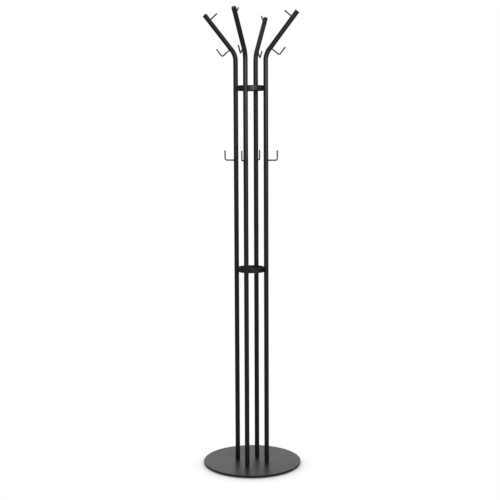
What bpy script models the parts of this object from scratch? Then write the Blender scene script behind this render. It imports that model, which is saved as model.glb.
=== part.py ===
"""Standing coat rack: four bent steel tubes round an open core, on a round steel base plate.

Metres, +Z up. The floor is z = 0 and the origin is the centre of the footprint. The four
uprights stand on +X, +Y, -X and -Y and are numbered 1 to 4 in that order. Each one carries
the same pieces, so every piece is modelled once in a side's own frame (X points away from
the rack's axis, Z up) and is parented to four empties that are turned a quarter each.
"""
import math

import bmesh
import bpy

# ---------------------------------------------------------------- driving dimensions
ARM_TOP_HEIGHT = 1.840        # floor to the highest edge of the arm ends
BASE_DIAMETER = 0.400
BASE_THICKNESS = 0.008
BASE_EDGE = 0.0008            # chamfer on both rims of the base plate

SIDES = 4                     # uprights, evenly spaced
TUBE_CIRCLE_RADIUS = 0.0635   # rack axis to a tube's axis
TUBE_DIAMETER = 0.019
TUBE_WALL = 0.0015
BEND_RADIUS = 0.070           # of the tube's centre line
ARM_ANGLE = math.radians(39)  # arm to the vertical
ARM_LENGTH = 0.208            # corner of the bend to the outer face of the end cap

RING_HEIGHT = 0.020
RING_WALL = 0.003
RING_EDGE = 0.0004
UPPER_RING_DROP = 0.1325      # corner of the bend down to the middle of the upper ring
LOWER_RING_RISE = 0.800       # base plate up to the middle of the lower ring

ROD_DIAMETER = 0.0055         # wire of the hooks and pegs
ROD_ROOT = 0.003              # how far a rod reaches into the tube, past the wall
ROD_TIP_EDGE = 0.0006         # chamfer on a rod's free end
HOOK_REACH = 0.0475           # tube's axis to the middle of the prong
HOOK_RISE = 0.039             # middle of the leg to the prong's tip
HOOK_ELBOW_RADIUS = 0.007
LOWER_HOOK_DROP = 0.419       # corner of the bend down to the lower hooks
UPPER_HOOK_OFFSET = 0.0066    # end of the bend to the upper hook, along the arm
PEG_REACH = 0.044             # arm's axis to the peg's tip
PEG_FROM_END = 0.030          # peg to the outer face of the end cap

CAP_LID = 0.0015
CAP_PLUG = 0.012
CAP_EDGE = 0.0004

INSERT_LENGTH = 0.030         # threaded plug in a tube's foot
INSERT_EDGE = 0.0008
BASE_SCREW_DIAMETER = 0.008
BASE_SCREW_LENGTH = 0.025
BASE_SCREW_HEAD_DIAMETER = 0.016
BASE_SCREW_RIM = 0.0004       # straight edge of the countersunk head
BASE_SCREW_SOCKET = 0.005     # hexagon socket, across flats
BASE_SCREW_SOCKET_DEPTH = 0.0025
BASE_SCREW_RECESS = 0.0003    # head below the underside of the base plate

RING_SCREW_DIAMETER = 0.005
RING_SCREW_LENGTH = 0.012
RING_SCREW_HEAD_DIAMETER = 0.0095
RING_SCREW_HEAD_HEIGHT = 0.0027
RING_SCREW_HEAD_RIM = 0.0006  # straight edge below the dome
RING_SCREW_CROWN = 0.0050     # flat on top of the dome, round the socket
RING_SCREW_SOCKET = 0.003
RING_SCREW_SOCKET_DEPTH = 0.0015
SCREW_TIP_EDGE = 0.0006

BUSH_DIAMETER = 0.008         # threaded bush in a tube's wall
BUSH_LENGTH = 0.009

GLIDES = 6
GLIDE_DIAMETER = 0.024
GLIDE_HEIGHT = 0.0025         # floor to the underside of the base plate
GLIDE_INSET = 0.020           # rim of the base plate to a glide's centre
GLIDE_EDGE = 0.0004

GAP = 0.0003                  # clearance between pieces that touch
OVERCUT = 0.010               # how far a cutter runs past what it cuts

# ---------------------------------------------------------------- mesh fineness
BASE_STEPS = 72
RING_STEPS = 48
TURNED_STEPS = 16
SMALL_STEPS = 12
BEND_STEPS = 10
ELBOW_STEPS = 7
DOME_STEPS = 3
TUBE_BEVEL_RESOLUTION = 6     # 16 sides
ROD_BEVEL_RESOLUTION = 3      # 10 sides
MERGE_DISTANCE = 0.00005
SHARP_ANGLE = math.radians(32)

# ---------------------------------------------------------------- sizes that follow
tube_radius = TUBE_DIAMETER / 2
bore_radius = tube_radius - TUBE_WALL
rod_radius = ROD_DIAMETER / 2
base_top = GLIDE_HEIGHT + BASE_THICKNESS
foot_height = base_top + GAP
bend_tangent = BEND_RADIUS * math.tan(ARM_ANGLE / 2)
corner_height = ARM_TOP_HEIGHT - ARM_LENGTH * math.cos(ARM_ANGLE) - tube_radius * math.sin(ARM_ANGLE)
ring_outer_radius = TUBE_CIRCLE_RADIUS - tube_radius - GAP
ring_inner_radius = ring_outer_radius - RING_WALL
ring_heights = {"lower": base_top + LOWER_RING_RISE, "upper": corner_height - UPPER_RING_DROP}
plug_radius = bore_radius - GAP
base_screw_start = GLIDE_HEIGHT + BASE_SCREW_RECESS
bush_start = TUBE_CIRCLE_RADIUS - tube_radius
ring_screw_seat = math.sqrt(ring_inner_radius ** 2 - (RING_SCREW_HEAD_DIAMETER / 2) ** 2) - GAP


# ---------------------------------------------------------------- scene, collections, materials
def clear_scene():
    """Remove every object, so that the script can be run again in an open file."""
    for old in list(bpy.data.objects):
        bpy.data.objects.remove(old, do_unlink=True)


def new_collection(name):
    """A collection under the scene's own."""
    made = bpy.data.collections.new(name)
    bpy.context.scene.collection.children.link(made)
    return made


def new_material(name, colour, roughness, metallic):
    """A Principled material of one colour."""
    made = bpy.data.materials.new(name)
    made.use_nodes = True
    shader = made.node_tree.nodes["Principled BSDF"]
    shader.inputs["Base Color"].default_value = (*colour, 1.0)
    shader.inputs["Roughness"].default_value = roughness
    shader.inputs["Metallic"].default_value = metallic
    return made


clear_scene()
rack = new_collection("standing_coat_rack")
workshop = new_collection("workshop")     # empty again once every piece is made

MATERIALS = {
    "base_plate": new_material("base_powder_coat", (0.035, 0.037, 0.038), 0.42, 0.0),
    "upright": new_material("tube_powder_coat", (0.022, 0.022, 0.023), 0.45, 0.0),
    "ring": new_material("ring_powder_coat", (0.020, 0.020, 0.021), 0.45, 0.0),
    "hook": new_material("hook_powder_coat", (0.018, 0.018, 0.019), 0.42, 0.0),
    "peg": new_material("peg_powder_coat", (0.018, 0.018, 0.019), 0.42, 0.0),
    "cap": new_material("cap_plastic", (0.020, 0.020, 0.020), 0.55, 0.0),
    "insert": new_material("insert_zinc", (0.45, 0.45, 0.44), 0.35, 1.0),
    "bush": new_material("bush_zinc", (0.42, 0.42, 0.41), 0.35, 1.0),
    "base_screw": new_material("base_screw_steel", (0.05, 0.05, 0.05), 0.40, 1.0),
    "ring_screw": new_material("ring_screw_steel", (0.04, 0.04, 0.04), 0.40, 1.0),
    "glide": new_material("glide_rubber", (0.015, 0.015, 0.015), 0.85, 0.0),
}


# ---------------------------------------------------------------- shapes
def turned(profile, steps, closed=False):
    """A shape turned about Z from (radius, height) points that run down its outer side."""
    mesh = bpy.data.meshes.new("turned")
    edges = [(i, i + 1) for i in range(len(profile) - 1)]
    if closed:
        edges.append((len(profile) - 1, 0))
    mesh.from_pydata([(radius, 0.0, height) for radius, height in profile], edges, [])
    made = bpy.data.objects.new("turned", mesh)
    workshop.objects.link(made)
    screw = made.modifiers.new("turn", "SCREW")
    screw.steps = steps
    screw.render_steps = steps
    screw.use_merge_vertices = True
    screw.merge_threshold = MERGE_DISTANCE
    return made


def wire(points, radius, bevel_resolution, tip_radius=None):
    """A round bar along a list of points; tip_radius tapers the last one."""
    curve = bpy.data.curves.new("wire", "CURVE")
    curve.dimensions = "3D"
    curve.bevel_depth = radius
    curve.bevel_resolution = bevel_resolution
    curve.use_fill_caps = True
    spline = curve.splines.new("POLY")
    spline.points.add(len(points) - 1)
    for point, place in zip(spline.points, points):
        point.co = (*place, 1.0)
    if tip_radius:
        spline.points[-1].radius = tip_radius / radius
    made = bpy.data.objects.new("wire", curve)
    workshop.objects.link(made)
    return made


def prism(radius, length, steps, location=(0, 0, 0), rotation=(0, 0, 0)):
    """A round or hexagonal bar that starts at its location and runs along its own +Z."""
    mesh = bpy.data.meshes.new("prism")
    shape = bmesh.new()
    bmesh.ops.create_cone(shape, cap_ends=True, segments=steps, radius1=radius, radius2=radius, depth=length)
    bmesh.ops.translate(shape, verts=shape.verts, vec=(0, 0, length / 2))
    shape.to_mesh(mesh)
    shape.free()
    made = bpy.data.objects.new("prism", mesh)
    made.location = location
    made.rotation_euler = rotation
    workshop.objects.link(made)
    return made


def finished(shape):
    """The evaluated mesh of a workshop object, welded; the object itself is removed."""
    bpy.context.view_layer.update()
    mesh = bpy.data.meshes.new_from_object(shape.evaluated_get(bpy.context.evaluated_depsgraph_get()))
    weld = bmesh.new()
    weld.from_mesh(mesh)
    bmesh.ops.remove_doubles(weld, verts=weld.verts, dist=MERGE_DISTANCE)
    weld.to_mesh(mesh)
    weld.free()
    mesh.shade_smooth()
    mesh.set_sharp_from_angle(angle=SHARP_ANGLE)
    bpy.data.objects.remove(shape, do_unlink=True)
    return mesh


def cut(mesh, cutters):
    """The mesh with every cutter taken out of it; the cutters are removed."""
    body = bpy.data.objects.new("body", mesh)
    workshop.objects.link(body)
    for cutter in cutters:
        step = body.modifiers.new("cut", "BOOLEAN")
        step.operation = "DIFFERENCE"
        step.solver = "EXACT"
        step.object = cutter
    result = finished(body)
    for cutter in cutters:
        bpy.data.objects.remove(cutter, do_unlink=True)
    return result


def wire_cutter(points, radius, bevel_resolution):
    """A closed mesh bar along a list of points, to cut with."""
    made = bpy.data.objects.new("bar", finished(wire(points, radius, bevel_resolution)))
    workshop.objects.link(made)
    return made


def hexagon_socket(across_flats, depth):
    """A cutter for a hexagon socket that opens downwards at z = 0."""
    corner_radius = across_flats / 2 / math.cos(math.pi / 6)
    return prism(corner_radius, depth + OVERCUT, 6, location=(0, 0, -OVERCUT))


# ---------------------------------------------------------------- where things are on a side
def turns(count):
    """The angles about Z of evenly spaced copies, the first on +X."""
    return [2 * math.pi * number / count for number in range(count)]


def along_arm(distance):
    """The point on an arm's axis at a distance from the corner of the bend."""
    outward = TUBE_CIRCLE_RADIUS + distance * math.sin(ARM_ANGLE)
    return (outward, 0.0, corner_height + distance * math.cos(ARM_ANGLE))


def upright_path(foot, arm_end):
    """The tube's centre line from a foot height, round the bend, to a distance along the arm."""
    points = [(TUBE_CIRCLE_RADIUS, 0.0, foot)]
    bend_centre = TUBE_CIRCLE_RADIUS + BEND_RADIUS
    bend_start = corner_height - bend_tangent
    for step in range(BEND_STEPS + 1):
        turn = ARM_ANGLE * step / BEND_STEPS
        outward = bend_centre - BEND_RADIUS * math.cos(turn)
        points.append((outward, 0.0, bend_start + BEND_RADIUS * math.sin(turn)))
    points.append(along_arm(arm_end))
    return points


QUARTER_TURN = math.pi / 2
LEVEL = (0, 0, 0)                               # a piece that stands as it was modelled
TILTED = (0, ARM_ANGLE, 0)                      # a piece that leans with the arm
OUTWARD = (0, QUARTER_TURN, 0)                  # a piece whose own +Z points outward
INWARD = (0, -QUARTER_TURN, 0)
TILTED_OUTWARD = (0, ARM_ANGLE + QUARTER_TURN, 0)
TILTED_INWARD = (0, ARM_ANGLE - QUARTER_TURN, 0)

tube_end = ARM_LENGTH - CAP_LID - GAP           # along the arm, from the corner of the bend

lower_hook_place = (TUBE_CIRCLE_RADIUS, 0.0, corner_height - LOWER_HOOK_DROP)
upper_hook_place = along_arm(bend_tangent + UPPER_HOOK_OFFSET)
peg_place = along_arm(ARM_LENGTH - PEG_FROM_END)
cap_place = along_arm(ARM_LENGTH)


# ---------------------------------------------------------------- the pieces, each modelled once
def base_plate_mesh():
    """A flat disc with chamfered rims and four holes, countersunk from below."""
    radius = BASE_DIAMETER / 2
    disc = turned([(0, base_top), (radius - BASE_EDGE, base_top), (radius, base_top - BASE_EDGE),
                   (radius, GLIDE_HEIGHT + BASE_EDGE), (radius - BASE_EDGE, GLIDE_HEIGHT),
                   (0, GLIDE_HEIGHT)], BASE_STEPS)
    hole_radius = BASE_SCREW_DIAMETER / 2 + GAP
    sink_radius = BASE_SCREW_HEAD_DIAMETER / 2 + GAP
    rim_top = base_screw_start + BASE_SCREW_RIM
    sink_top = rim_top + sink_radius - hole_radius
    cutters = []
    for turn in turns(SIDES):
        hole = turned([(0, base_top + OVERCUT), (hole_radius, base_top + OVERCUT), (hole_radius, sink_top),
                       (sink_radius, rim_top), (sink_radius, GLIDE_HEIGHT - OVERCUT),
                       (0, GLIDE_HEIGHT - OVERCUT)], TURNED_STEPS)
        hole.location = (TUBE_CIRCLE_RADIUS * math.cos(turn), TUBE_CIRCLE_RADIUS * math.sin(turn), 0)
        cutters.append(hole)
    return cut(finished(disc), cutters)


def upright_mesh():
    """The bent tube: bored from end to end, and drilled for its hooks, its peg and its two bushes."""
    solid = finished(wire(upright_path(foot_height, tube_end), tube_radius, TUBE_BEVEL_RESOLUTION))
    bore = wire_cutter(upright_path(foot_height - OVERCUT, tube_end + OVERCUT), bore_radius,
                       TUBE_BEVEL_RESOLUTION)
    rod_hole = rod_radius + GAP
    bush_hole = BUSH_DIAMETER / 2 + GAP
    drill_length = tube_radius + OVERCUT
    drills = [
        prism(rod_hole, drill_length, SMALL_STEPS, lower_hook_place, OUTWARD),
        prism(rod_hole, drill_length, SMALL_STEPS, upper_hook_place, TILTED_OUTWARD),
        prism(rod_hole, drill_length, SMALL_STEPS, peg_place, TILTED_INWARD),
    ]
    for height in ring_heights.values():
        place = (TUBE_CIRCLE_RADIUS, 0.0, height)
        drills.append(prism(bush_hole, drill_length, SMALL_STEPS, place, INWARD))
    return cut(solid, [bore] + drills)


def ring_mesh():
    """A short length of wide pipe, centred on its own origin, with a screw hole at each upright."""
    top = RING_HEIGHT / 2
    outer, inner, edge = ring_outer_radius, ring_inner_radius, RING_EDGE
    band = turned([(inner + edge, top), (outer - edge, top), (outer, top - edge), (outer, edge - top),
                   (outer - edge, -top), (inner + edge, -top), (inner, edge - top), (inner, top - edge)],
                  RING_STEPS, closed=True)
    hole_radius, drill_length = RING_SCREW_DIAMETER / 2 + GAP, outer + OVERCUT
    cutters = [prism(hole_radius, drill_length, SMALL_STEPS, rotation=(0, QUARTER_TURN, turn))
               for turn in turns(SIDES)]
    return cut(finished(band), cutters)


def hook_mesh():
    """An L of wire: out along X from inside the tube's wall, round the elbow and up along Z."""
    start = bore_radius - ROD_ROOT
    points = [(start, 0, 0)]
    for step in range(ELBOW_STEPS + 1):
        turn = QUARTER_TURN * step / ELBOW_STEPS
        outward = HOOK_REACH - HOOK_ELBOW_RADIUS * (1 - math.sin(turn))
        points.append((outward, 0, HOOK_ELBOW_RADIUS * (1 - math.cos(turn))))
    points.append((HOOK_REACH, 0, HOOK_RISE - ROD_TIP_EDGE))
    points.append((HOOK_REACH, 0, HOOK_RISE))
    return finished(wire(points, rod_radius, ROD_BEVEL_RESOLUTION, rod_radius - ROD_TIP_EDGE))


def peg_mesh():
    """A straight length of the same wire, towards the rack's axis along -X."""
    start = bore_radius - ROD_ROOT
    points = [(-start, 0, 0), (ROD_TIP_EDGE - PEG_REACH, 0, 0), (-PEG_REACH, 0, 0)]
    return finished(wire(points, rod_radius, ROD_BEVEL_RESOLUTION, rod_radius - ROD_TIP_EDGE))


def end_cap_mesh():
    """A plug with a flat lid as wide as the tube; the lid's outer face is at z = 0."""
    lid = tube_radius
    profile = [(0, 0), (lid - CAP_EDGE, 0), (lid, -CAP_EDGE), (lid, -CAP_LID), (plug_radius, -CAP_LID),
               (plug_radius, CAP_EDGE - CAP_LID - CAP_PLUG), (plug_radius - CAP_EDGE, -CAP_LID - CAP_PLUG),
               (0, -CAP_LID - CAP_PLUG)]
    return finished(turned(profile, TURNED_STEPS))


def foot_insert_mesh():
    """A threaded plug for the foot of a tube, with its lower face at z = 0."""
    hole = BASE_SCREW_DIAMETER / 2 + GAP
    profile = [(hole, INSERT_LENGTH), (plug_radius - INSERT_EDGE, INSERT_LENGTH),
               (plug_radius, INSERT_LENGTH - INSERT_EDGE), (plug_radius, 0), (hole, 0)]
    return finished(turned(profile, TURNED_STEPS, closed=True))


def base_screw_mesh():
    """A countersunk screw, head down at z = 0, with a hexagon socket in its head."""
    shank, head = BASE_SCREW_DIAMETER / 2, BASE_SCREW_HEAD_DIAMETER / 2
    tip = BASE_SCREW_LENGTH
    profile = [(0, tip), (shank - SCREW_TIP_EDGE, tip), (shank, tip - SCREW_TIP_EDGE),
               (shank, BASE_SCREW_RIM + head - shank), (head, BASE_SCREW_RIM), (head, 0), (0, 0)]
    socket = hexagon_socket(BASE_SCREW_SOCKET, BASE_SCREW_SOCKET_DEPTH)
    return cut(finished(turned(profile, TURNED_STEPS)), [socket])


def ring_screw_mesh():
    """A button-head screw, head down at z = 0, with a hexagon socket in its domed head."""
    shank, head = RING_SCREW_DIAMETER / 2, RING_SCREW_HEAD_DIAMETER / 2
    neck = RING_SCREW_HEAD_HEIGHT
    tip = neck + RING_SCREW_LENGTH
    profile = [(0, tip), (shank - SCREW_TIP_EDGE, tip), (shank, tip - SCREW_TIP_EDGE), (shank, neck),
               (head, neck)]
    crown, dome_height = RING_SCREW_CROWN / 2, neck - RING_SCREW_HEAD_RIM
    for step in range(DOME_STEPS + 1):
        turn = QUARTER_TURN * step / DOME_STEPS
        profile.append((crown + (head - crown) * math.cos(turn), dome_height * (1 - math.sin(turn))))
    profile.append((0, 0))
    socket = hexagon_socket(RING_SCREW_SOCKET, RING_SCREW_SOCKET_DEPTH)
    return cut(finished(turned(profile, SMALL_STEPS)), [socket])


def bush_mesh():
    """A threaded bush that sits in a tube's wall, with its outer end at z = 0."""
    outer, hole = BUSH_DIAMETER / 2, RING_SCREW_DIAMETER / 2 + GAP
    return finished(turned([(hole, BUSH_LENGTH), (outer, BUSH_LENGTH), (outer, 0), (hole, 0)],
                           SMALL_STEPS, closed=True))


def glide_mesh():
    """A round pad from the floor to just under the base plate."""
    radius, top = GLIDE_DIAMETER / 2, GLIDE_HEIGHT - GAP
    return finished(turned([(0, top), (radius, top), (radius, GLIDE_EDGE), (radius - GLIDE_EDGE, 0), (0, 0)],
                           TURNED_STEPS))


# ---------------------------------------------------------------- assembly
def empty(name, turn):
    """An empty on the rack's axis, turned about Z."""
    made = bpy.data.objects.new(name, None)
    made.rotation_euler = (0, 0, turn)
    made.empty_display_size = 0.1
    rack.objects.link(made)
    return made


def place(name, mesh, finish, parent=None, location=(0, 0, 0), rotation=LEVEL):
    """One piece of the rack: an object on a shared mesh, in its parent's frame."""
    made = bpy.data.objects.new(name, mesh)
    if not mesh.materials:
        mesh.materials.append(MATERIALS[finish])
    made.parent = parent
    made.location = location
    made.rotation_euler = rotation
    rack.objects.link(made)
    return made


place("base_plate", base_plate_mesh(), "base_plate")
shared_ring = ring_mesh()
for level, height in ring_heights.items():
    place(f"{level}_ring", shared_ring, "ring", location=(0, 0, height))

# name, mesh, finish, place in the side's frame, turn in the side's frame
side_pieces = [
    ("upright", upright_mesh(), "upright", (0, 0, 0), LEVEL),
    ("end_cap", end_cap_mesh(), "cap", cap_place, TILTED),
    ("top_peg", peg_mesh(), "peg", peg_place, TILTED),
    ("foot_insert", foot_insert_mesh(), "insert", (TUBE_CIRCLE_RADIUS, 0, foot_height), LEVEL),
    ("base_screw", base_screw_mesh(), "base_screw", (TUBE_CIRCLE_RADIUS, 0, base_screw_start), LEVEL),
]
shared_hook = hook_mesh()
side_pieces.append(("lower_hook", shared_hook, "hook", lower_hook_place, LEVEL))
side_pieces.append(("upper_hook", shared_hook, "hook", upper_hook_place, TILTED))
shared_screw, shared_bush = ring_screw_mesh(), bush_mesh()
for level, height in ring_heights.items():
    screw_place = (ring_screw_seat - RING_SCREW_HEAD_HEIGHT, 0, height)
    side_pieces.append((f"{level}_ring_screw", shared_screw, "ring_screw", screw_place, OUTWARD))
    side_pieces.append((f"{level}_ring_bush", shared_bush, "bush", (bush_start, 0, height), OUTWARD))

for number, turn in enumerate(turns(SIDES), start=1):
    axis = empty(f"side_{number}", turn)
    for name, mesh, finish, location, rotation in side_pieces:
        place(f"{name}_{number}", mesh, finish, axis, location, rotation)

shared_glide = glide_mesh()
for number, turn in enumerate(turns(GLIDES), start=1):
    axis = empty(f"glide_arm_{number}", turn)
    place(f"glide_{number}", shared_glide, "glide", axis, (BASE_DIAMETER / 2 - GLIDE_INSET, 0, 0))

bpy.data.collections.remove(workshop)
bpy.context.view_layer.update()
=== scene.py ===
"""Looks of the standing coat rack: powder-coated tubes, rings, rod hooks and a round base plate.

Metres, +Z up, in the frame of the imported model. Side 1 stands on +X and the other sides follow by
quarter turns, so a side's pieces are worked out once, where side 1 has them, and then turned.
A shape is a grid of points worked out as whole arrays: a line turned about an axis, an outline
carried along a bent line, or a sheet stretched from the edge of a hole to its surroundings.
"""
import math

import bmesh
import bpy
import numpy as np
from mathutils import Matrix, Vector


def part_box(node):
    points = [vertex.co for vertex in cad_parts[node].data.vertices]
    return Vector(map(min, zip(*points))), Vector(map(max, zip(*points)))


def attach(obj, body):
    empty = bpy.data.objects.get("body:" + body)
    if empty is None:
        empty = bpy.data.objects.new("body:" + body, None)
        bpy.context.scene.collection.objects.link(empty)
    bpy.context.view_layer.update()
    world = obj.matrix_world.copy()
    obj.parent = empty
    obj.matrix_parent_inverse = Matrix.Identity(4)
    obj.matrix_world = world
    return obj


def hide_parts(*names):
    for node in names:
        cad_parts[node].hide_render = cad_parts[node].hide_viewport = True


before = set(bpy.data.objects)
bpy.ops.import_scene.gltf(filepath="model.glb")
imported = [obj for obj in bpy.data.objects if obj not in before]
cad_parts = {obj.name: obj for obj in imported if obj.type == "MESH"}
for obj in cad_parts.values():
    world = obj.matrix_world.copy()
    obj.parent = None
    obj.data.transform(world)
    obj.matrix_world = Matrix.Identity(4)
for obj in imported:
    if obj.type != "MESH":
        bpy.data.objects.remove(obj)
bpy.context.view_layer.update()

# ---------------------------------------------------------------- sizes that the boxes don't give
ARM_ANGLE = math.radians(39)      # arm to the vertical
BEND_RADIUS = 0.070               # of a tube's centre line
TUBE_WALL = 0.0015
TUBE_LIP = 0.0004                 # rounding of a tube's cut ends

RING_WALL = 0.003
RING_ROUND = 0.0007
RING_HOLE_RADIUS = 0.0028

PLATE_ROUND = 0.0009              # rounding of the base plate's rims
PLATE_HOLE_RADIUS = 0.0043
SINK_RADIUS = 0.0083              # countersink at the underside of the base plate
SINK_RIM = 0.0007                 # straight part of the countersink

ELBOW_RADIUS = 0.007              # of a hook's centre line
ROD_ROOT_ROUND = 0.0004           # at the end inside the tube
ROD_TIP_ROUND = 0.0011
ROD_TIP_LENGTH = 0.002            # the last part of a rod, where its tip is shaped
WELD_SIZE = 0.0022                # leg of the fillet between a rod and its tube
WELD_REACH = 1.2 * WELD_SIZE      # from the tube's skin to where the rod is plain again
WELD_SINK = 0.0003                # how far the fillet's edge lies below the tube's skin
WELD_START = 0.001                # how far below the skin the plain rod ends
WELD_WAVES = ((3, 0.07, 0.4), (5, 0.05, 1.9))    # count, share of the size and phase of its ripples

CAP_DOME = 0.0003
CAP_ROUND = 0.0006                # rim of the lid
CAP_CROWN = (0.6, 0.004)          # where the dome turns down, in lid radii, and its rounding
CAP_GATE_RADIUS = 0.0011          # dimple where the plastic was injected
CAP_GATE_FLOOR = 0.7 * CAP_GATE_RADIUS
CAP_LID = 0.0015
CAP_EDGE = 0.0002                 # rounding of the gate's rim and of the lid's lower edge
CAP_CORNER = 0.0001               # rounding between the lid and the plug
CAP_PLUG_SLACK = 0.0003
CAP_NOSE = (0.002, 0.0009)        # length and depth of the plug's lead-in
CAP_NOSE_ROUND = (0.001, 0.0005)  # rounding where the lead-in starts and ends

SCREW_EDGE = 0.0002               # rounding of a screw's edges
SCREW_POINT = 0.0006              # chamfer at a screw's end
FOOT_SCREW_SHANK = 0.004
FOOT_SCREW_SOCKET = (0.0025, 0.0025)    # half its width across flats, and its depth
FOOT_SCREW_SOCKET_EDGE = 0.0002
FOOT_SCREW_FACE = 0.0010          # flat strip round the socket
FOOT_SCREW_RIM = 0.0004           # height of the head's straight rim
FOOT_SCREW_RIM_ROUND = 0.0001
RING_SCREW_SHANK = 0.0025
RING_SCREW_SOCKET = (0.0015, 0.0015)
RING_SCREW_SOCKET_EDGE = 0.00015
RING_SCREW_CROWN = 0.0025         # radius of the flat on top of the head
RING_SCREW_HEAD = 0.0027          # height of the head
RING_SCREW_RIM = 0.0006           # height of the head's straight rim
RING_SCREW_NECK_ROUND = 0.0003

GLIDE_TOP_EDGE = 0.0003           # chamfer of the upper rim
GLIDE_TOP_ROUND = (0.0001, 0.0002)               # above and below that chamfer
GLIDE_ROUND = 0.0007              # rounding of the lower rim
GLIDE_GROOVE = (0.0025, 0.0029, 0.0037, 0.0041)  # from the rim to its lip, foot, other foot, other lip
GLIDE_GROOVE_DEPTH = 0.0004
GLIDE_GROOVE_ROUND = (0.0003, 0.0002)            # of its lips and its feet

HOLD = 0.00006                    # flat strip beside each rounding, which keeps its shading clean

# ---------------------------------------------------------------- fineness
TUBE_SEGMENTS = 64
ROD_SEGMENTS = 32
SCREW_SEGMENTS = 48
TURNED_SEGMENTS = 96              # of caps and glides
ROUND_STEPS = 6
BEND_ROWS = 40
ARM_ROWS = 6
ROD_ROWS = 48
WELD_ROWS = 9
DOME_ROWS = 12                    # of a ring screw's head
FACE_ROWS = 9                     # from a screw hole to the edge of the base plate's face
RING_FACE_ROWS = 8                # from a screw hole to the edge of a ring's wall
ROW_CROWDING = 1.6                # how strongly those rows crowd towards the hole
STRAIGHT_STEP = 0.040             # rows along a straight tube
SECTOR_STEP = 0.003               # points along the edge of a quarter of the base plate
RING_STEPS = 56                   # points along a quarter of a ring
RING_SIDE_STEPS = 12              # points down the edge of a quarter of a ring
MERGE_DISTANCE = 0.000002
SHARP_ANGLE = math.radians(50)

UP = np.array([0.0, 0.0, 1.0])
OUT = np.array([1.0, 0.0, 0.0])
ARM = np.array([math.sin(ARM_ANGLE), 0.0, math.cos(ARM_ANGLE)])        # along side 1's arm
ARM_OUT = np.array([math.cos(ARM_ANGLE), 0.0, -math.sin(ARM_ANGLE)])   # square to it, outward and down
SIDES = (1, 2, 3, 4)
LEVELS = ("lower", "upper")
GLIDES = 6


# ---------------------------------------------------------------- places read from the frame
def corners(node):
    """The lowest and the highest corner of a CAD node as arrays."""
    low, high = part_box(node)
    return np.array(low), np.array(high)


def end_middle(node, direction, depth=0.00002):
    """The middle of the flat end of a CAD node that looks along a direction: the mean of its different
    points that lie within the depth of the furthest one."""
    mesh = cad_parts[node].data
    points = np.empty(3 * len(mesh.vertices), np.float32)
    mesh.vertices.foreach_get("co", points)
    points = np.unique(points.reshape(-1, 3).round(6), axis=0)
    reach = points @ direction
    return points[reach > reach.max() - depth].mean(axis=0).astype(float)


plate_low, plate_high = corners("base_plate")
tube_low, tube_high = corners("upright_1")
insert_low, insert_high = corners("foot_insert_1")
cap_middle = end_middle("end_cap_1", ARM)

plate_radius, plate_top, plate_bottom = plate_high[0], plate_high[2], plate_low[2]
tube_radius, tube_foot = tube_high[1], tube_low[2]
bore_radius = tube_radius - TUBE_WALL
tube_circle = (insert_low[0] + insert_high[0]) / 2
rod_radius = corners("lower_hook_1")[1][1]
arm_length = (cap_middle[0] - tube_circle) / math.sin(ARM_ANGLE)
corner_height = cap_middle[2] - arm_length * math.cos(ARM_ANGLE)
bend_tangent = BEND_RADIUS * math.tan(ARM_ANGLE / 2)


# ---------------------------------------------------------------- lines
def rounded(*stops, steps=ROUND_STEPS, closed=False):
    """A flat line through stops of (x, y, rounding): each stop with a rounding becomes an arc that
    touches both of its legs, with a short straight strip on either side of it."""
    line = []
    for index, (x, y, rounding) in enumerate(stops):
        corner = np.array([x, y])
        if rounding == 0 or not (closed or 0 < index < len(stops) - 1):
            line.append(corner[None])
            continue
        back = np.array(stops[index - 1][:2]) - corner
        ahead = np.array(stops[(index + 1) % len(stops)][:2]) - corner
        back, ahead = back / np.linalg.norm(back), ahead / np.linalg.norm(ahead)
        half = math.acos(np.clip(back @ ahead, -1, 1)) / 2
        tangent = rounding / math.tan(half)
        middle = corner + (back + ahead) / np.linalg.norm(back + ahead) * rounding / math.sin(half)
        start, end = corner + back * tangent, corner + ahead * tangent
        turn = np.linspace(0, math.pi - 2 * half, steps + 1)[:, None]
        first = (start - middle) / rounding
        square = (end - middle) / rounding - first * math.cos(math.pi - 2 * half)
        square = square / np.linalg.norm(square)
        arc = middle + rounding * (np.cos(turn) * first + np.sin(turn) * square)
        line += [(start + back * HOLD)[None], arc, (end + ahead * HOLD)[None]]
    if closed:
        line.append(line[0][:1])
    return np.concatenate(line)


def bent_line(distance, bend_start, bend_radius, bend_angle):
    """Point and direction, in a plane, at a distance along a line that runs along the plane's second
    axis, bends towards the first through an angle on a radius, and then runs straight on."""
    turn = np.clip((distance - bend_start) / bend_radius, 0, bend_angle)
    after = np.maximum(distance - bend_start - bend_radius * bend_angle, 0)
    across = bend_radius * (1 - np.cos(turn)) + after * math.sin(bend_angle)
    along = np.minimum(distance, bend_start) + bend_radius * np.sin(turn) + after * math.cos(bend_angle)
    return np.stack([across, along], axis=-1), np.stack([np.sin(turn), np.cos(turn)], axis=-1)


def full_turn(count, start=0.0):
    """Evenly spaced angles round a circle."""
    return start + 2 * math.pi * np.arange(count) / count


# ---------------------------------------------------------------- sheets of points: (rows, columns, 3)
def turned(line, angles):
    """A line of (radius, height) turned about Z: (r cos a, r sin a, h)."""
    radius, height = line[:, :1], line[:, 1:]
    return np.stack([radius * np.cos(angles), radius * np.sin(angles), height + 0 * angles], axis=-1)


def hexagon_turned(line, angles, inner_rows):
    """The same, but the first rows follow a hexagon whose distance across its flats is twice the
    radius: r / cos(angle from the middle of the nearest flat)."""
    from_flat = (angles + math.pi / 6) % (math.pi / 3) - math.pi / 6
    stretch = np.ones((len(line), len(angles)))
    stretch[:inner_rows] = 1 / np.cos(from_flat)
    sheet = turned(line, angles)
    sheet[..., :2] *= stretch[..., None]
    return sheet


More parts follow.
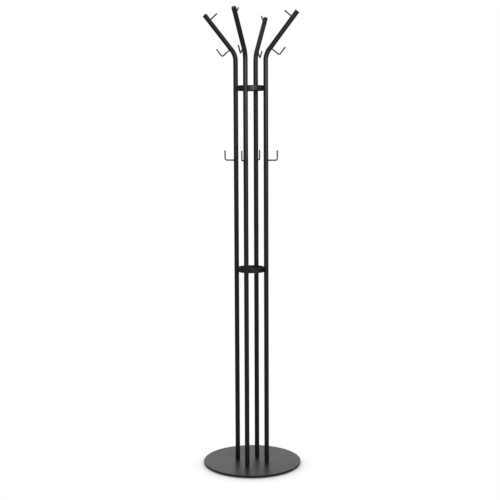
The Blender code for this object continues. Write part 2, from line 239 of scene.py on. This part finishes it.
def carried(outline, path, segments):
    """An outline of (distance, radius) carried along a line in the XZ plane: at each distance a circle
    of that radius, square to the line."""
    point, direction = path(outline[:, 0])
    turn = full_turn(segments)[None, :, None]
    middle = np.stack([point[:, 0], 0 * point[:, 0], point[:, 1]], axis=-1)[:, None]
    square = np.stack([direction[:, 1], 0 * point[:, 0], -direction[:, 0]], axis=-1)[:, None]
    radius = outline[:, 1][:, None, None]
    side = np.array([0.0, 1.0, 0.0])
    return middle + radius * (np.cos(turn) * square + np.sin(turn) * side)


def between(inner, outer, rows):
    """A sheet from one loop of points to another: each point runs straight to its partner, in rows that
    crowd towards the first loop."""
    share = np.linspace(0, 1, rows)[:, None, None] ** ROW_CROWDING
    return inner + (outer - inner) * share


# ---------------------------------------------------------------- from sheets to pieces
def grid_quads(rows, columns):
    """The corners of a grid's quads. The last column is joined to the first."""
    column = np.arange(columns)
    row = columns * np.arange(rows - 1)[:, None]
    first = (row + column).ravel()
    second = (row + (column + 1) % columns).ravel()
    return np.stack([first, second, second + columns, first + columns], axis=1)


def piece(name, sheets, stands_for, finish):
    """One closed object from sheets of points: merged where they meet, its faces turned outward. It
    takes the place of a CAD node and wears a finish."""
    points, quads, start = [], [], 0
    for sheet in sheets:
        rows, columns = sheet.shape[:2]
        quads.append(grid_quads(rows, columns) + start)
        points.append(sheet.reshape(-1, 3))
        start += rows * columns
    mesh = bpy.data.meshes.new(name)
    mesh.from_pydata(np.concatenate(points).tolist(), [], np.concatenate(quads).tolist())
    shape = bmesh.new()
    shape.from_mesh(mesh)
    bmesh.ops.remove_doubles(shape, verts=shape.verts, dist=MERGE_DISTANCE)
    bmesh.ops.recalc_face_normals(shape, faces=shape.faces)
    shape.to_mesh(mesh)
    shape.free()
    mesh.shade_smooth()
    mesh.set_sharp_from_angle(angle=SHARP_ANGLE)
    mesh.materials.append(FINISHES[finish])
    made = bpy.data.objects.new(name, mesh)
    bpy.context.scene.collection.objects.link(made)
    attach(made, "root")
    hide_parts(stands_for)


def quarter_turned(sheet, side):
    """A sheet of side 1 turned about Z to another side."""
    turn = np.array(Matrix.Rotation((side - 1) * math.pi / 2, 3, "Z"))
    return sheet @ turn.T


def set_square(sheet, origin, along_x, along_z):
    """A sheet modelled at the origin, moved so that its own X and Z point as given."""
    along_y = np.cross(along_z, along_x)
    return origin + sheet @ np.stack([along_x, along_y, along_z])


# ---------------------------------------------------------------- shader nodes
class Shade:
    """A socket of a node tree. Arithmetic on it adds Math nodes; node() adds any other kind."""

    def __init__(self, tree, socket=None):
        self.tree = tree
        self.socket = socket

    def node(self, kind, settings=None, inputs=None, output=0):
        """A new node: its settings first, then the values or links of its sockets. Gives one output."""
        made = self.tree.nodes.new(kind)
        for name, value in (settings or {}).items():
            setattr(made, name, value)
        self.feed(made, inputs or {})
        return Shade(self.tree, made.outputs[output] if made.outputs else None)

    def feed(self, node, inputs):
        """Set or link a node's sockets."""
        for name, value in inputs.items():
            if isinstance(value, Shade):
                self.tree.links.new(value.socket, node.inputs[name])
            else:
                node.inputs[name].default_value = value

    def maths(self, operation, *values):
        """A Math node on these values."""
        return self.node("ShaderNodeMath", {"operation": operation}, dict(enumerate(values)))

    def __add__(self, other):
        return self.maths("ADD", self, other)

    def __radd__(self, other):
        return self.maths("ADD", other, self)

    def __sub__(self, other):
        return self.maths("SUBTRACT", self, other)

    def __rsub__(self, other):
        return self.maths("SUBTRACT", other, self)

    def __mul__(self, other):
        return self.maths("MULTIPLY", self, other)

    def __rmul__(self, other):
        return self.maths("MULTIPLY", other, self)

    def noise(self, size, detail=2.0, roughness=0.5):
        """Noise of this grain size in metres, from the coordinates in this socket."""
        return self.node("ShaderNodeTexNoise", None,
                         {"Vector": self, "Scale": 1 / size, "Detail": detail, "Roughness": roughness})

    def stretched(self, scale):
        """These coordinates, scaled along each axis."""
        return self.node("ShaderNodeMapping", None, {"Vector": self, "Scale": scale})

    def along(self, direction):
        """How far these coordinates reach along a direction."""
        return self.node("ShaderNodeVectorMath", {"operation": "DOT_PRODUCT"},
                         {0: self, 1: tuple(direction)}, output="Value")

    def band(self, low, high):
        """0 below low, 1 above high and even between them."""
        return self.node("ShaderNodeMapRange", None, {"Value": self, "From Min": low, "From Max": high})

    def mix(self, first, second):
        """A colour between two, by this share. A Mix node's colours are its sockets 6 and 7."""
        colours = {0: self, 6: first, 7: second}
        return self.node("ShaderNodeMix", {"data_type": "RGBA"}, colours, output=2)

    def bump(self, distance, strength=1.0):
        """A bumped normal from this height, in units of the distance."""
        return self.node("ShaderNodeBump", None,
                         {"Height": self, "Distance": distance, "Strength": strength})


def new_material(name):
    """A material, its Principled node and its object coordinates."""
    made = bpy.data.materials.new(name)
    made.use_nodes = True
    where = Shade(made.node_tree).node("ShaderNodeTexCoord", output="Object")
    return made, made.node_tree.nodes["Principled BSDF"], where


def grey(value, tint=(1.0, 1.0, 1.0)):
    """A near-neutral colour."""
    return (value * tint[0], value * tint[1], value * tint[2], 1.0)


# ---------------------------------------------------------------- finishes
COAT_IOR = 1.5
PEEL_SIZE = 0.0028                # of a dimple of the orange peel
PEEL_SHARE = 1.8                  # height of the orange peel, in heights of the grain
COAT_DRIFT_SIZE = 0.11            # of the slow drifts along a piece
TONE_SPREAD = 0.28                # largest change of a coat's tone, as a share of it
GRAIN_IN_TONE, DRIFT_IN_TONE = 0.7, 0.9
GRAIN_IN_SHEEN, DRIFT_IN_SHEEN = 0.10, 0.14
COOL_BLACK = (0.97, 1.0, 1.01)

PLASTIC_IOR = 1.49
PLASTIC_GRAIN, PLASTIC_DRIFT_SIZE = 0.00022, 0.006
PLASTIC_DARK, PLASTIC_PALE = 0.85, 1.2           # shares of the tone
PLASTIC_GRAIN_IN_SHEEN, PLASTIC_GRAIN_DEPTH = 0.2, 0.00003

RUBBER_GRAIN, RUBBER_GRAIN_DEPTH = 0.0004, 0.00004
BLOOM_SIZE, BLOOM_BAND = 0.007, (0.45, 0.75)
BLOOM_PALE = 2.2                  # share of the tone where the bloom is full
RUBBER_ROUGHNESS, BLOOM_IN_SHEEN = 0.78, 0.12

MARK_STRETCH = (1.0, 1.0, 9.0)    # tool marks run round Z
MARK_SIZE, MARK_DEPTH, MARK_IN_SHEEN = 0.0009, 0.00001, 0.2
BLOTCH_SIZE, BLOTCH_BAND = 0.004, (0.3, 0.7)
BLOTCH_DARK, BLOTCH_PALE = 0.8, 1.15             # shares of the tone
YELLOW_ZINC, WARM_BLACK = (1.0, 0.99, 0.93), (1.0, 0.97, 0.95)


def powder_coat(name, tone, roughness, grain, depth, tint=(1.0, 1.0, 1.0)):
    """Satin powder coat: fine grain and a broader orange peel in the skin, and slow drifts of tone and
    sheen where the coat lies thicker."""
    made, shader, where = new_material(name)
    speck = where.noise(grain, detail=3.0, roughness=0.6)
    peel = where.noise(PEEL_SIZE, detail=1.0)
    drift = where.noise(COAT_DRIFT_SIZE)
    lightness = (speck - 0.5) * GRAIN_IN_TONE + (drift - 0.5) * DRIFT_IN_TONE + 0.5
    dark = grey(tone * (1 - TONE_SPREAD), tint)
    pale = grey(tone * (1 + TONE_SPREAD), tint)
    sheen = (speck - 0.5) * GRAIN_IN_SHEEN + (drift - 0.5) * DRIFT_IN_SHEEN + roughness
    where.feed(shader, {"Base Color": lightness.mix(dark, pale), "Roughness": sheen, "IOR": COAT_IOR,
                        "Normal": (speck + peel * PEEL_SHARE).bump(depth)})
    return made


def moulded_plastic(name, tone, roughness):
    """Matt moulded plastic: a fine, even spark-eroded grain, and a tone that drifts a little."""
    made, shader, where = new_material(name)
    speck = where.noise(PLASTIC_GRAIN)
    drift = where.noise(PLASTIC_DRIFT_SIZE)
    where.feed(shader, {"Base Color": drift.mix(grey(tone * PLASTIC_DARK), grey(tone * PLASTIC_PALE)),
                        "Roughness": (speck - 0.5) * PLASTIC_GRAIN_IN_SHEEN + roughness,
                        "IOR": PLASTIC_IOR, "Normal": speck.bump(PLASTIC_GRAIN_DEPTH)})
    return made


def rubber(name, tone):
    """Matt black rubber with a slight bloom."""
    made, shader, where = new_material(name)
    speck = where.noise(RUBBER_GRAIN, detail=4.0, roughness=0.7)
    bloom = where.noise(BLOOM_SIZE, detail=3.0).band(*BLOOM_BAND)
    where.feed(shader, {"Base Color": bloom.mix(grey(tone), grey(tone * BLOOM_PALE)),
                        "Roughness": RUBBER_ROUGHNESS + bloom * BLOOM_IN_SHEEN,
                        "Normal": speck.bump(RUBBER_GRAIN_DEPTH)})
    return made


def turned_metal(name, tone, roughness, tint):
    """Plated, turned steel: fine tool marks, and blotches where the plating is thicker."""
    made, shader, where = new_material(name)
    marks = where.stretched(MARK_STRETCH).noise(MARK_SIZE, detail=3.0)
    blotch = where.noise(BLOTCH_SIZE, detail=3.0).band(*BLOTCH_BAND)
    shade = blotch.mix(grey(tone * BLOTCH_DARK), grey(tone * BLOTCH_PALE, tint))
    sheen = (marks - 0.5) * MARK_IN_SHEEN + roughness
    where.feed(shader, {"Base Color": shade, "Metallic": 1.0, "Roughness": sheen,
                        "Normal": marks.bump(MARK_DEPTH)})
    return made


# a finish's numbers are its tone, its roughness and, for a coat, the size and depth of its grain
FINISHES = {
    "base_powder_coat": powder_coat("base_powder_coat", 0.008, 0.38, 0.00045, 0.000025, COOL_BLACK),
    "tube_powder_coat": powder_coat("tube_powder_coat", 0.006, 0.42, 0.00045, 0.000025),
    "ring_powder_coat": powder_coat("ring_powder_coat", 0.006, 0.46, 0.00045, 0.000025),
    "rod_powder_coat": powder_coat("rod_powder_coat", 0.006, 0.40, 0.00040, 0.000020),
    "cap_plastic": moulded_plastic("cap_plastic", 0.008, 0.5),
    "insert_zinc": turned_metal("insert_zinc", 0.50, 0.34, YELLOW_ZINC),
    "screw_black": turned_metal("screw_black", 0.05, 0.38, WARM_BLACK),
    "glide_rubber": rubber("glide_rubber", 0.012),
}


# ---------------------------------------------------------------- the base plate
def quarter_edge(radius, step):
    """Points round a quarter of a disc that is centred on +X, and the number of steps along its rim:
    out along one cut, round the rim and back along the other. The cuts lie 45 degrees off +X."""
    cut = np.linspace(0, radius, int(radius / step) + 1)
    rim = np.linspace(-math.pi / 4, math.pi / 4, int(radius * math.pi / 2 / step) + 1)
    low = np.stack([cut * math.cos(-math.pi / 4), cut * math.sin(-math.pi / 4)], axis=-1)
    arc = radius * np.stack([np.cos(rim), np.sin(rim)], axis=-1)
    high = (low * (1, -1))[::-1]
    return np.concatenate([low[:-1], arc[:-1], high[:-1]]), len(rim) - 1


def base_plate():
    """A flat disc: its faces are sheets from the edge of each screw hole to the edge of that quarter of
    the disc, its rim is a rounded line turned about Z, and each hole narrows from its countersink."""
    face_radius = plate_radius - PLATE_ROUND - HOLD
    edge, rim_steps = quarter_edge(face_radius, SECTOR_STEP)
    hole_middle = np.array([tube_circle, 0.0])
    bearing = edge - hole_middle
    bearing = bearing / np.linalg.norm(bearing, axis=1)[:, None]
    sink_top = plate_bottom + SINK_RIM + SINK_RADIUS - PLATE_HOLE_RADIUS
    wall = [(PLATE_HOLE_RADIUS, plate_top), (PLATE_HOLE_RADIUS, sink_top),
            (SINK_RADIUS, plate_bottom + SINK_RIM), (SINK_RADIUS, plate_bottom)]
    hole = np.stack([np.column_stack([hole_middle + radius * bearing, np.full(len(edge), height)])
                     for radius, height in wall])
    sheets = []
    for inner, height in ((hole[0], plate_top), (hole[-1], plate_bottom)):
        outer = np.column_stack([edge, np.full(len(edge), height)])
        sheets.append(between(inner, outer, FACE_ROWS))
    sheets.append(hole)
    sheets = [quarter_turned(sheet, side) for sheet in sheets for side in SIDES]
    rim = rounded((face_radius, plate_top, 0), (plate_radius, plate_top, PLATE_ROUND),
                  (plate_radius, plate_bottom, PLATE_ROUND), (face_radius, plate_bottom, 0))
    sheets.append(turned(rim, full_turn(4 * rim_steps, math.pi / 4)))
    piece("plate", sheets, "base_plate", "base_powder_coat")


# ---------------------------------------------------------------- rings
def ring(level):
    """A length of wide pipe with rounded rims. Each wall is four sheets from a screw hole to the edges
    of its quarter, in angle and height, laid on a cylinder; the rims are turned about Z."""
    low, high = corners(f"{level}_ring")
    outer_radius, inner_radius = high[0], high[0] - RING_WALL
    middle, half = (low[2] + high[2]) / 2, (high[2] - low[2]) / 2
    face = half - RING_ROUND - HOLD
    along = np.linspace(-math.pi / 4, math.pi / 4, RING_STEPS + 1)
    down = np.linspace(-face, face, RING_SIDE_STEPS + 1)
    edge = np.concatenate([
        np.column_stack([along, np.full(len(along), -face)])[:-1],
        np.column_stack([np.full(len(down), math.pi / 4), down])[:-1],
        np.column_stack([along[::-1], np.full(len(along), face)])[:-1],
        np.column_stack([np.full(len(down), -math.pi / 4), down[::-1]])[:-1]])
    bearing = np.arctan2(edge[:, 1], edge[:, 0] * outer_radius)
    sheets, hole_edges = [], []
    for radius in (outer_radius, inner_radius):
        hole = np.column_stack([np.arcsin(RING_HOLE_RADIUS * np.cos(bearing) / radius),
                                RING_HOLE_RADIUS * np.sin(bearing)])
        flat = between(hole, edge, RING_FACE_ROWS)
        sheet = np.stack([radius * np.cos(flat[..., 0]), radius * np.sin(flat[..., 0]),
                          middle + flat[..., 1]], axis=-1)
        sheets.append(sheet)
        hole_edges.append(sheet[0])
    sheets.append(np.stack(hole_edges))
    sheets = [quarter_turned(sheet, side) for sheet in sheets for side in SIDES]
    rim = rounded((outer_radius, face, 0), (outer_radius, half, RING_ROUND),
                  (inner_radius, half, RING_ROUND), (inner_radius, face, 0))
    angles = full_turn(4 * RING_STEPS, math.pi / 4)
    for flip in (1, -1):
        sheets.append(turned(rim * (1, flip) + (0, middle), angles))
    piece(f"{level}_spacer_ring", sheets, f"{level}_ring", "ring_powder_coat")


# ---------------------------------------------------------------- uprights and their caps
def upright_line(distance):
    """The tube's centre line on side 1, from the floor up, round the bend and along the arm."""
    point, direction = bent_line(distance, corner_height - bend_tangent, BEND_RADIUS, ARM_ANGLE)
    return point + (tube_circle, 0), direction


def upright_sheet():
    """The wall of a tube: a closed outline of (distance, radius), up the outside, over the rounded lip,
    down the bore and under the foot, carried along the centre line."""
    bend_start = corner_height - bend_tangent
    bend_end = bend_start + BEND_RADIUS * ARM_ANGLE
    end = bend_end + arm_length - bend_tangent - CAP_LID - CAP_PLUG_SLACK
    straight = np.arange(tube_foot + STRAIGHT_STEP, bend_start - STRAIGHT_STEP / 2, STRAIGHT_STEP)
    bend = np.linspace(bend_start, bend_end, BEND_ROWS + 1)
    arm = np.linspace(bend_end, end, ARM_ROWS)[1:-1]
    stops = np.concatenate([straight, bend, arm])
    lips = rounded((tube_foot, tube_radius, TUBE_LIP), (end, tube_radius, TUBE_LIP),
                   (end, bore_radius, TUBE_LIP), (tube_foot, bore_radius, TUBE_LIP), closed=True)
    count = (len(lips) - 1) // 4
    outside = np.column_stack([stops, np.full(len(stops), tube_radius)])
    inside = np.column_stack([stops[::-1], np.full(len(stops), bore_radius)])
    outline = np.concatenate([lips[:count], outside, lips[count:3 * count], inside, lips[3 * count:]])
    return carried(outline, upright_line, TUBE_SEGMENTS)


def cap_sheet():
    """A plug with a lid: a line turned about its own axis. The lid is slightly domed, with a rounded rim
    and a shallow gate dimple in the middle."""
    lid, plug = tube_radius, bore_radius - CAP_PLUG_SLACK
    depth = -np.linalg.norm(cap_middle - end_middle("end_cap_1", -ARM))
    crown, crown_round = CAP_CROWN
    nose_length, nose_depth = CAP_NOSE
    nose_start_round, nose_end_round = CAP_NOSE_ROUND
    line = rounded((0, -CAP_DOME / 2, 0), (CAP_GATE_FLOOR, -CAP_DOME / 2, CAP_EDGE),
                   (CAP_GATE_RADIUS, 0, CAP_EDGE), (lid * crown, -CAP_DOME / 3, crown_round),
                   (lid, -CAP_DOME, CAP_ROUND), (lid, -CAP_LID, CAP_EDGE), (plug, -CAP_LID, CAP_CORNER),
                   (plug, depth + nose_length, nose_start_round),
                   (plug - nose_depth, depth, nose_end_round), (0, depth, 0))
    return turned(line, full_turn(TURNED_SEGMENTS))


# ---------------------------------------------------------------- hooks and pegs
def weld_rows(angles):
    """The fillet between a rod along +X and a tube along Z, as rows of (x, y, z): its distance from the
    rod's axis shrinks on a quarter circle while its height above the tube's skin grows on the same one.
    The skin lies at sqrt(R^2 - y^2), and slow ripples change the fillet's size round the rod."""
    ripple = sum(share * np.sin(count * angles + phase) for count, share, phase in WELD_WAVES)
    size = WELD_SIZE * (1 + ripple)
    turn = np.linspace(0, math.pi / 2, WELD_ROWS)[:, None]
    reach = rod_radius + size * (1 - np.sin(turn))
    height = size * (1 - np.cos(turn)) - WELD_SINK * (1 - turn / (math.pi / 2))
    y, z = reach * np.cos(angles), reach * np.sin(angles)
    return np.stack([np.sqrt(tube_radius ** 2 - y ** 2) + height, y, z], axis=-1)


def rod_sheet(root, length, path):
    """A rod that leaves a tube along +X: round inside the wall, out of its weld fillet, and carried
    along its path to a rounded tip. The path gives point and direction at a distance from the tube's
    axis, and the first row lies at the root's distance."""
    start = rounded((root, 0, 0), (root, rod_radius, ROD_ROOT_ROUND),
                    (tube_radius - WELD_START, rod_radius, 0))
    free = np.linspace(tube_radius + WELD_REACH, length - ROD_TIP_LENGTH, ROD_ROWS)
    tip = rounded((length - ROD_TIP_LENGTH, rod_radius, 0), (length, rod_radius, ROD_TIP_ROUND),
                  (length, 0, 0))
    plain = np.column_stack([free, np.full(len(free), rod_radius)])
    rod = carried(np.concatenate([start, plain, tip[1:]]), path, ROD_SEGMENTS)
    # carried() starts its circles from the line's own square direction, which is -Z on the first leg
    weld = weld_rows(full_turn(ROD_SEGMENTS, -math.pi / 2))
    return np.concatenate([rod[:len(start)], weld, rod[len(start):]])


def hook_path(reach):
    """A hook's centre line: along +X, round the elbow and up along Z."""
    def path(distance):
        point, direction = bent_line(distance, reach - ELBOW_RADIUS, ELBOW_RADIUS, math.pi / 2)
        return point[..., ::-1], direction[..., ::-1]
    return path


def peg_path(distance):
    """A peg's centre line: straight along +X."""
    point = np.stack([distance, 0 * distance], axis=-1)
    return point, np.stack([1 + 0 * distance, 0 * distance], axis=-1)


def on_arm(point):
    """The point on side 1's arm axis that is nearest to a point."""
    corner = np.array([tube_circle, 0.0, corner_height])
    return corner + ARM * ((point - corner) @ ARM)


def side_rod(node, out, up):
    """A hook or peg of side 1. It stands on its tube's axis, leaves it along one direction and, if it is
    a hook, turns up along the other. Its length follows the centre line from the tube's axis."""
    root, far, tip = (end_middle(f"{node}_1", way) for way in (-out, out, up))
    foot = np.array([tube_circle, 0.0, root[2]]) if up is UP else on_arm(root)
    if node == "top_peg":
        length, path = (far - foot) @ out, peg_path
    else:
        reach, rise = (tip - foot) @ out, (tip - foot) @ up
        length = reach - ELBOW_RADIUS + ELBOW_RADIUS * math.pi / 2 + rise - ELBOW_RADIUS
        path = hook_path(reach)
    return set_square(rod_sheet((root - foot) @ out, length, path), foot, out, up)


def make_side(number):
    """Every piece of one side that is seen: upright, cap, two hooks and the peg."""
    piece(f"bent_tube_{number}", [quarter_turned(upright_sheet(), number)],
          f"upright_{number}", "tube_powder_coat")
    cap = set_square(cap_sheet(), cap_middle, ARM_OUT, ARM)
    piece(f"tube_cap_{number}", [quarter_turned(cap, number)], f"end_cap_{number}", "cap_plastic")
    rods = (("lower_hook", "wall_hook", OUT, UP), ("upper_hook", "arm_hook", ARM_OUT, ARM),
            ("top_peg", "arm_peg", -ARM_OUT, ARM))
    for node, name, out, up in rods:
        rod = side_rod(node, out, up)
        piece(f"{name}_{number}", [quarter_turned(rod, number)], f"{node}_{number}", "rod_powder_coat")


# ---------------------------------------------------------------- screws and glides
def base_screw_sheet():
    """A countersunk screw, head down at z = 0, with a hexagon socket: a line turned about Z, its first
    rows on a hexagon."""
    low, high = corners("base_screw_1")
    head, length = (high[1] - low[1]) / 2, high[2] - low[2]
    shank, edge = FOOT_SCREW_SHANK, FOOT_SCREW_SOCKET_EDGE
    socket, socket_depth = FOOT_SCREW_SOCKET
    neck = FOOT_SCREW_RIM + head - shank
    inner = rounded((0, socket_depth, 0), (socket, socket_depth, 0), (socket, edge, 0),
                    (socket + edge, 0, 0))
    outer = rounded((socket + FOOT_SCREW_FACE, 0, 0), (head, 0, SCREW_EDGE),
                    (head, FOOT_SCREW_RIM, FOOT_SCREW_RIM_ROUND), (shank, neck, SCREW_EDGE),
                    (shank, length - SCREW_POINT, SCREW_EDGE),
                    (shank - SCREW_POINT, length, SCREW_EDGE), (0, length, 0))
    return hexagon_turned(np.concatenate([inner, outer]), full_turn(SCREW_SEGMENTS), len(inner))


def ring_screw_sheet():
    """A button-head screw, head down at z = 0, with a hexagon socket in its dome. The dome is a quarter
    of an ellipse from the crown to the rim."""
    low, high = corners("upper_ring_screw_1")
    head, length = (high[1] - low[1]) / 2, high[0] - low[0]
    shank, neck, edge = RING_SCREW_SHANK, RING_SCREW_HEAD, RING_SCREW_SOCKET_EDGE
    socket, socket_depth = RING_SCREW_SOCKET
    rim = neck - RING_SCREW_RIM
    inner = rounded((0, socket_depth, 0), (socket, socket_depth, 0), (socket, edge, 0),
                    (socket + edge, 0, 0))
    turn = np.linspace(math.pi / 2, 0, DOME_ROWS)
    dome = np.column_stack([RING_SCREW_CROWN + (head - RING_SCREW_CROWN) * np.cos(turn),
                            rim * (1 - np.sin(turn))])
    outer = rounded((head, rim, 0), (head, neck, SCREW_EDGE), (shank, neck, RING_SCREW_NECK_ROUND),
                    (shank, length - SCREW_POINT, SCREW_EDGE),
                    (shank - SCREW_POINT, length, SCREW_EDGE), (0, length, 0))
    line = np.concatenate([inner, dome, outer[1:]])
    return hexagon_turned(line, full_turn(SCREW_SEGMENTS), len(inner))


def glide_sheet():
    """A round pad with a rounded lower rim and a shallow groove near it: a line turned about Z."""
    low, high = corners("glide_1")
    radius, top = (high[1] - low[1]) / 2, high[2]
    outer_lip, outer_foot, inner_foot, inner_lip = (radius - inset for inset in GLIDE_GROOVE)
    above_round, below_round = GLIDE_TOP_ROUND
    lip_round, foot_round = GLIDE_GROOVE_ROUND
    line = rounded((0, top, 0), (radius - GLIDE_TOP_EDGE, top, above_round),
                   (radius, top - GLIDE_TOP_EDGE, below_round), (radius, 0, GLIDE_ROUND),
                   (outer_lip, 0, lip_round), (outer_foot, GLIDE_GROOVE_DEPTH, foot_round),
                   (inner_foot, GLIDE_GROOVE_DEPTH, foot_round), (inner_lip, 0, lip_round), (0, 0, 0))
    return turned(line, full_turn(TURNED_SEGMENTS))


def make_fasteners():
    """The screws of the feet and of both rings, and the glides."""
    foot = np.array([tube_circle, 0.0, corners("base_screw_1")[0][2]])
    for number in SIDES:
        sheet = set_square(base_screw_sheet(), foot, OUT, UP)
        piece(f"foot_screw_{number}", [quarter_turned(sheet, number)],
              f"base_screw_{number}", "screw_black")
        for level in LEVELS:
            low, high = corners(f"{level}_ring_screw_1")
            place = np.array([low[0], 0.0, (low[2] + high[2]) / 2])
            sheet = set_square(ring_screw_sheet(), place, UP, OUT)
            piece(f"{level}_button_screw_{number}", [quarter_turned(sheet, number)],
                  f"{level}_ring_screw_{number}", "screw_black")
    for number in range(1, GLIDES + 1):
        low, high = corners(f"glide_{number}")
        middle = (low + high) / 2 * (1, 1, 0)
        piece(f"floor_glide_{number}", [glide_sheet() + middle], f"glide_{number}", "glide_rubber")


def refinish_hidden_nodes():
    """The inserts and bushes keep their CAD shape and get the plated finish."""
    for name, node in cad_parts.items():
        if name.startswith("foot_insert") or "_bush_" in name:
            for slot in node.material_slots:
                slot.material = FINISHES["insert_zinc"]


base_plate()
for level in LEVELS:
    ring(level)
for side in SIDES:
    make_side(side)
make_fasteners()
refinish_hidden_nodes()


# ---------------------------------------------------------------- studio
CAMERA_TURN = math.radians(18.53)     # the camera stands this far round from -Y towards +X
CAMERA_DISTANCE = 4.0234              # from the rack's axis, level
CAMERA_HEIGHT = 1.3389
CAMERA_SIDEWAYS = 0.0212              # to the right of the line to the axis
CAMERA_HEADING = math.radians(18.91)  # of its view, from +Y
CAMERA_PITCH = math.radians(6.378)    # looking down
CAMERA_ROLL = math.radians(-0.255)
FOCAL_LENGTH = 71.65                  # on a sensor 36 mm wide
SENSOR_WIDTH = 36.0

ACROSS = Vector((math.cos(CAMERA_TURN), math.sin(CAMERA_TURN), 0))     # to the viewer's right
TOWARDS = Vector((math.sin(CAMERA_TURN), -math.cos(CAMERA_TURN), 0))   # to the viewer

KEY_PLACE = TOWARDS * 2.1 + ACROSS * 0.75 + Vector((0, 0, 2.1))
KEY_TARGET = Vector((0, 0, 1.6))
KEY_WIDTH, KEY_HEIGHT, KEY_POWER = 1.2, 1.3, 36

STUDIO_DIM, STUDIO_BACK, STUDIO_ABOVE = 0.22, 1.03, 0.6   # all round, behind the rack and above
PALE = (0.98, 1.0, 1.03)
COOL = (0.86, 1.0, 1.14)
PANEL_EDGE = (0.10, 0.28)             # sine of the angle from straight behind the rack
PANEL_SIDE = (0.0, 0.3)               # and of the angle by which a direction looks away from the viewer
CEILING_BAND = (0.25, 0.6)            # sine of the height at which the ceiling begins and is full

FLOOR_SIZE = 60.0
# glow of the floor that the rack reflects, in place of light: painted light ahead of the rack, painted
# shade behind it
PAINTED_SHADE_BEHIND, PAINTED_LIGHT_AHEAD = 0.17, 0.30
FLOOR_BAND = (-0.6, 0.3)              # metres towards the viewer, from the one to the other
# reach, strength, lean and samples of the painted contact shadow on the floor
SHADOW_REACH, SHADOW_POWER, SHADOW_LEAN, SHADOW_SAMPLES = 0.06, 1.3, 0.7, 16


def place_camera():
    """A camera on a tripod, a little below the rack's upper ring, that looks slightly down."""
    data = bpy.data.cameras.new("camera")
    data.sensor_width = SENSOR_WIDTH
    data.lens = FOCAL_LENGTH
    camera = bpy.data.objects.new("camera", data)
    place = TOWARDS * CAMERA_DISTANCE + ACROSS * CAMERA_SIDEWAYS + Vector((0, 0, CAMERA_HEIGHT))
    camera.matrix_world = (Matrix.Translation(place)
                           @ Matrix.Rotation(CAMERA_HEADING, 4, "Z")
                           @ Matrix.Rotation(math.pi / 2 - CAMERA_PITCH, 4, "X")
                           @ Matrix.Rotation(CAMERA_ROLL, 4, "Z"))
    bpy.context.scene.collection.objects.link(camera)
    bpy.context.scene.camera = camera


def make_key():
    """A tall lamp in front of the rack, a little to the viewer's right, aimed at the upper tubes."""
    data = bpy.data.lights.new("key", "AREA")
    data.shape = "RECTANGLE"
    data.size = KEY_WIDTH
    data.size_y = KEY_HEIGHT
    data.energy = KEY_POWER
    lamp = bpy.data.objects.new("key", data)
    lamp.location = KEY_PLACE
    lamp.rotation_euler = (KEY_TARGET - KEY_PLACE).to_track_quat("-Z", "Y").to_euler()
    bpy.context.scene.collection.objects.link(lamp)
    lamp.visible_camera = False


def make_world():
    """White to the eye. For light and reflections it is a dim studio with a cool ceiling and a tall,
    pale panel straight behind the rack."""
    world = bpy.data.worlds.new("studio")
    bpy.context.scene.world = world
    world.use_nodes = True
    start = Shade(world.node_tree)
    way = start.node("ShaderNodeTexCoord", output="Generated")
    above = way.node("ShaderNodeSeparateXYZ", None, {0: way}, output="Z")
    aside = way.along(ACROSS)
    away = 0 - way.along(TOWARDS)
    panel = (1 - aside.maths("ABSOLUTE", aside).band(*PANEL_EDGE)) * away.band(*PANEL_SIDE)
    level = above.band(*CEILING_BAND).mix(grey(STUDIO_DIM), grey(STUDIO_ABOVE, COOL))
    level = panel.mix(level, grey(STUDIO_BACK, PALE))
    seen = start.node("ShaderNodeLightPath", output="Is Camera Ray").mix(level, grey(1.0))
    start.feed(world.node_tree.nodes["Background"], {"Color": seen})


def make_floor():
    """A pale floor: white to the eye, with a painted contact shadow, taken from ambient occlusion, that
    leans towards the viewer.
    What the rack reflects of it is a dimmer glow, painted light that fades to painted shade, dimmest
    behind the rack. From below it is clear."""
    mesh = bpy.data.meshes.new("studio_floor")
    size = FLOOR_SIZE / 2
    mesh.from_pydata([(-size, -size, 0), (size, -size, 0), (size, size, 0), (-size, size, 0)], [],
                     [(0, 1, 2, 3)])
    material = bpy.data.materials.new("glowing_floor_with_painted_shadow")
    material.use_nodes = True
    start = Shade(material.node_tree)
    away = Vector((0, 0, 1)) - SHADOW_LEAN * TOWARDS
    leaning = start.node("ShaderNodeCombineXYZ", None, dict(enumerate(away)))
    # painted contact shadow: ambient occlusion, leaned towards the viewer, darkens the floor's glow
    near = start.node("ShaderNodeAmbientOcclusion", {"samples": SHADOW_SAMPLES},
                      {"Distance": SHADOW_REACH, "Normal": leaning}, output="AO")
    shadow = near.maths("POWER", near, SHADOW_POWER)
    # the floor's white glow to the eye, darkened by the painted contact shadow
    white = start.node("ShaderNodeEmission", None, {"Color": shadow.mix(grey(0.0), grey(1.0))})
    # what the rack reflects of the floor is a glow, not light: painted light in front of the rack fading
    # to painted shade behind it
    where = start.node("ShaderNodeTexCoord", output="Object")
    ahead = where.along(TOWARDS).band(*FLOOR_BAND)
    floor_glow_with_painted_shade = ahead.mix(grey(PAINTED_SHADE_BEHIND), grey(PAINTED_LIGHT_AHEAD))
    dim = start.node("ShaderNodeEmission", None, {"Color": floor_glow_with_painted_shade})
    seen = start.node("ShaderNodeLightPath", output="Is Camera Ray")
    top = start.node("ShaderNodeMixShader", None, {0: seen, 1: dim, 2: white})
    below = start.node("ShaderNodeNewGeometry", output="Backfacing")
    clear = start.node("ShaderNodeBsdfTransparent")
    both = start.node("ShaderNodeMixShader", None, {0: below, 1: top, 2: clear})
    start.feed(material.node_tree.nodes["Material Output"], {"Surface": both})
    mesh.materials.append(material)
    floor = bpy.data.objects.new("studio_floor", mesh)
    bpy.context.scene.collection.objects.link(floor)


bpy.context.scene.view_settings.view_transform = "Standard"
place_camera()
make_world()
make_floor()
make_key()
